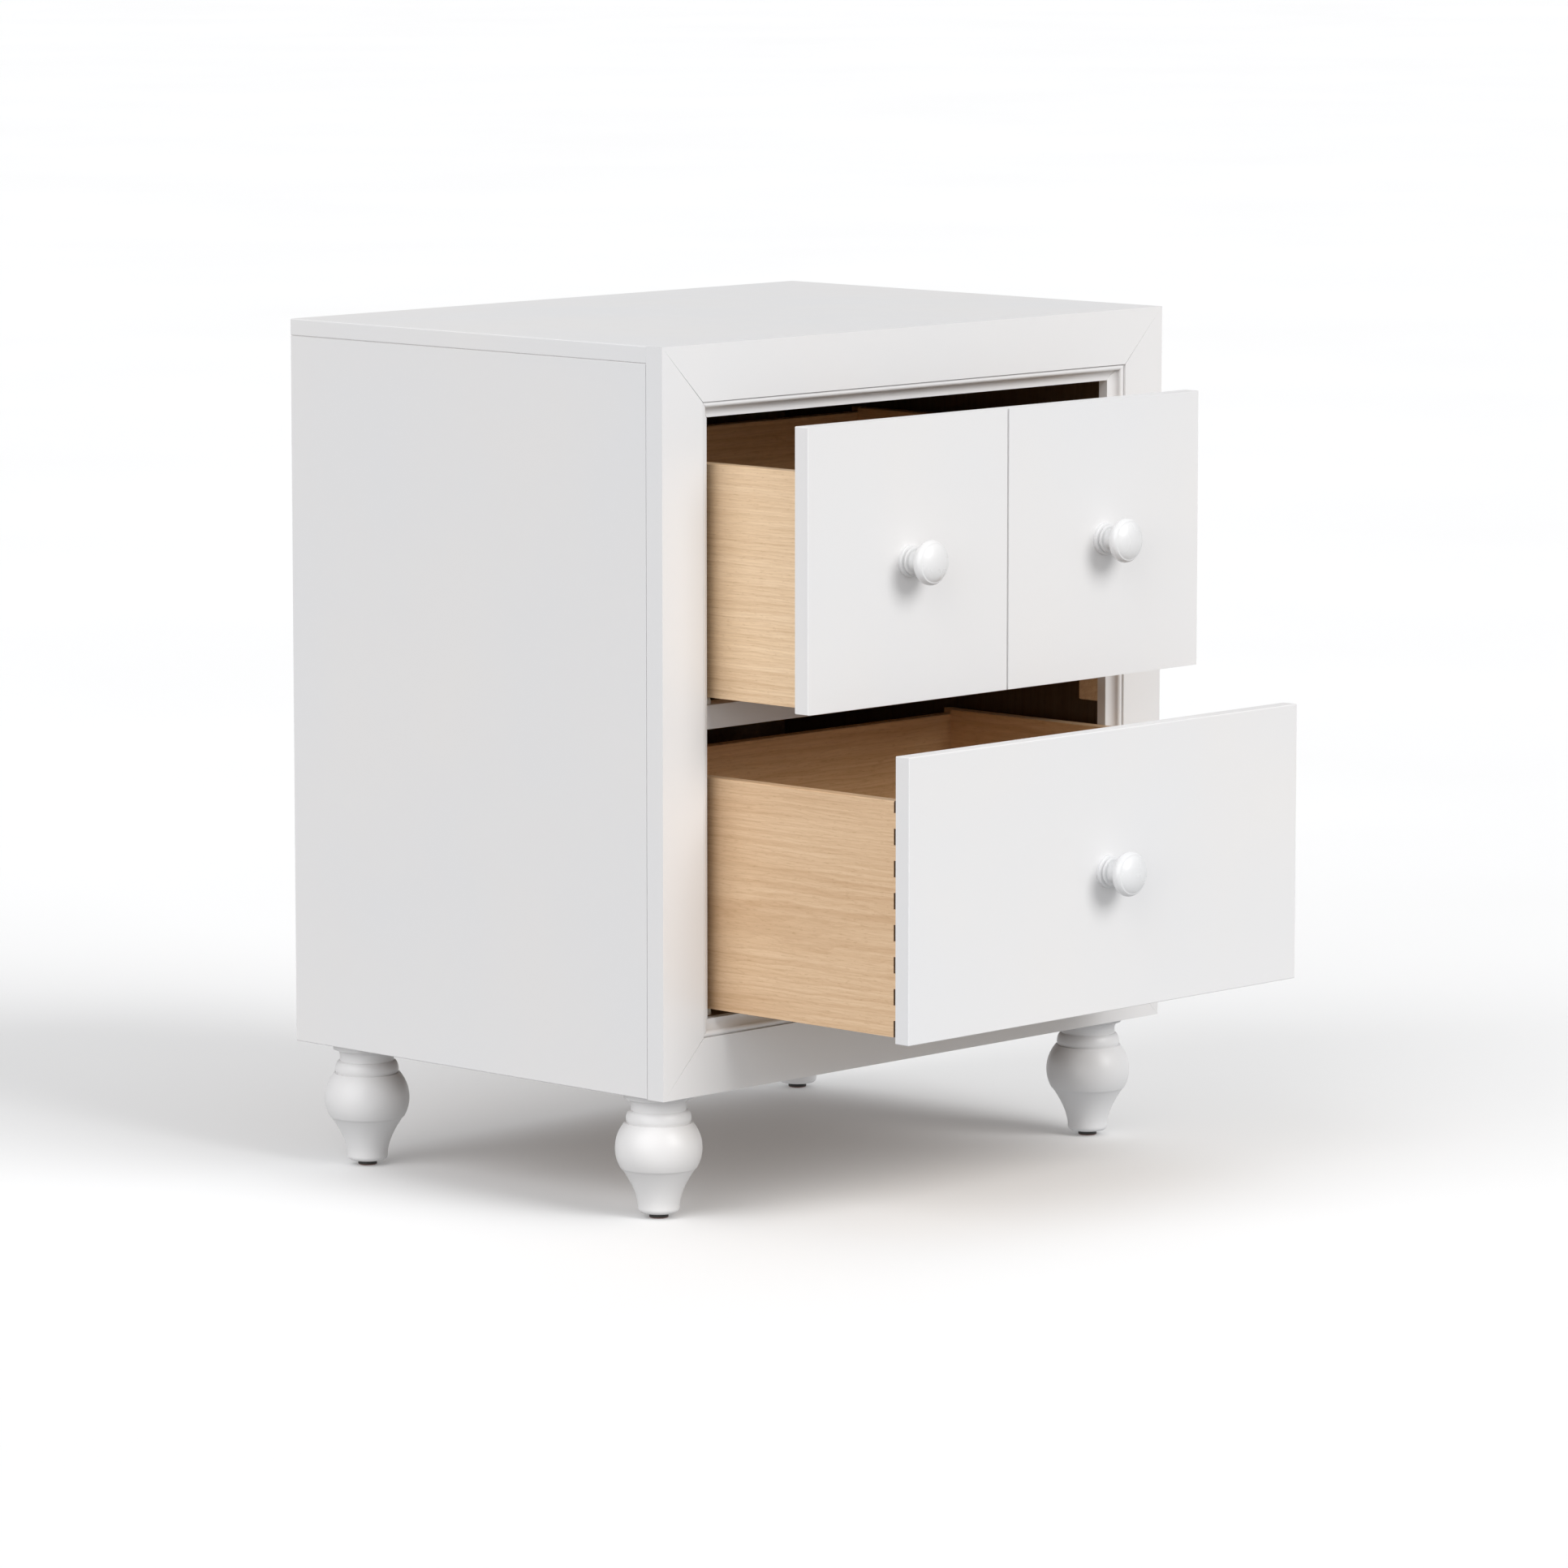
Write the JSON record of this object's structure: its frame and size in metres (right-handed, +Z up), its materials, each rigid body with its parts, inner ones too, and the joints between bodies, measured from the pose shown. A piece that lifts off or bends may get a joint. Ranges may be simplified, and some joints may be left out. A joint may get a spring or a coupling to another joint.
{
  "type": "nightstand with drawers",
  "caption": "Painted wooden nightstand with a mitred face frame, turned feet and inset drawers with dovetailed boxes that slide on centre runners.",
  "frame": {"origin": "on the floor, under the middle of the whole piece with its drawers as they stand at rest", "axes": "+Z up; -Y towards the front, the way the drawers pull out; +X to the right seen from the front"},
  "size_m": [0.61, 0.6812, 0.72],
  "materials": {
    "white_paint": "satin white paint on wood",
    "knob_paint": "semi-gloss white paint on turned wood",
    "maple": "satin lacquered light maple",
    "box_bottom": "plywood, lacquered",
    "inner_wood": "planed wood, stained dark brown",
    "back_board": "hardboard, smooth, dark brown",
    "dowel_wood": "bare beech",
    "nylon": "moulded nylon",
    "glide_plastic": "moulded black plastic",
    "zinc_steel": "zinc plated",
    "brassed_steel": "yellow zinc plated"
  },
  "bodies": {
    "case": {"top_panel": "white_paint", "left_side_panel": "white_paint", "right_side_panel": "white_paint", "back_panel": "back_board", "bottom_panel": "inner_wood", "frame_top_rail": "white_paint", "frame_bottom_rail": "white_paint", "frame_left_stile": "white_paint", "frame_right_stile": "white_paint", "divider_rail": "white_paint", "lower_front_rail": "inner_wood", "upper_rear_rail": "inner_wood", "lower_rear_rail": "inner_wood", "upper_runner": "maple", "lower_runner": "maple", "runner_pegs": "nylon", "runner_screws": "brassed_steel", "rail_buttons": "nylon", "rail_blocks": "maple", "rear_stops": "inner_wood", "panel_dowels": "dowel_wood", "frame_dowels": "dowel_wood", "back_screws": "brassed_steel", "foot_blocks": "inner_wood", "foot_inserts": "brassed_steel", "foot_bolts": "zinc_steel", "foot_glides": "glide_plastic", "front_left_foot": "white_paint", "front_right_foot": "white_paint", "rear_left_foot": "white_paint", "rear_right_foot": "white_paint"},
    "upper_drawer": {"upper_front": "white_paint", "upper_left_side": "maple", "upper_right_side": "maple", "upper_back": "maple", "upper_bottom": "box_bottom", "upper_guide_strips": "maple", "upper_shoe": "nylon", "upper_shoe_screws": "brassed_steel", "upper_brads": "zinc_steel", "upper_left_knob": "knob_paint", "upper_right_knob": "knob_paint", "upper_knob_screws": "zinc_steel"},
    "lower_drawer": {"lower_front": "white_paint", "lower_left_side": "maple", "lower_right_side": "maple", "lower_back": "maple", "lower_bottom": "box_bottom", "lower_guide_strips": "maple", "lower_shoe": "nylon", "lower_shoe_screws": "brassed_steel", "lower_brads": "zinc_steel", "lower_knob": "knob_paint", "lower_knob_screw": "zinc_steel"}
  },
  "joints": [
    {"name": "upper_drawer_slide", "type": "slide", "parent": "case", "child": "upper_drawer", "axis": [0, -1, 0], "range_m": [-0.099, 0.191]},
    {"name": "lower_drawer_slide", "type": "slide", "parent": "case", "child": "lower_drawer", "axis": [0, -1, 0], "range_m": [-0.21, 0.08]}
  ]
}
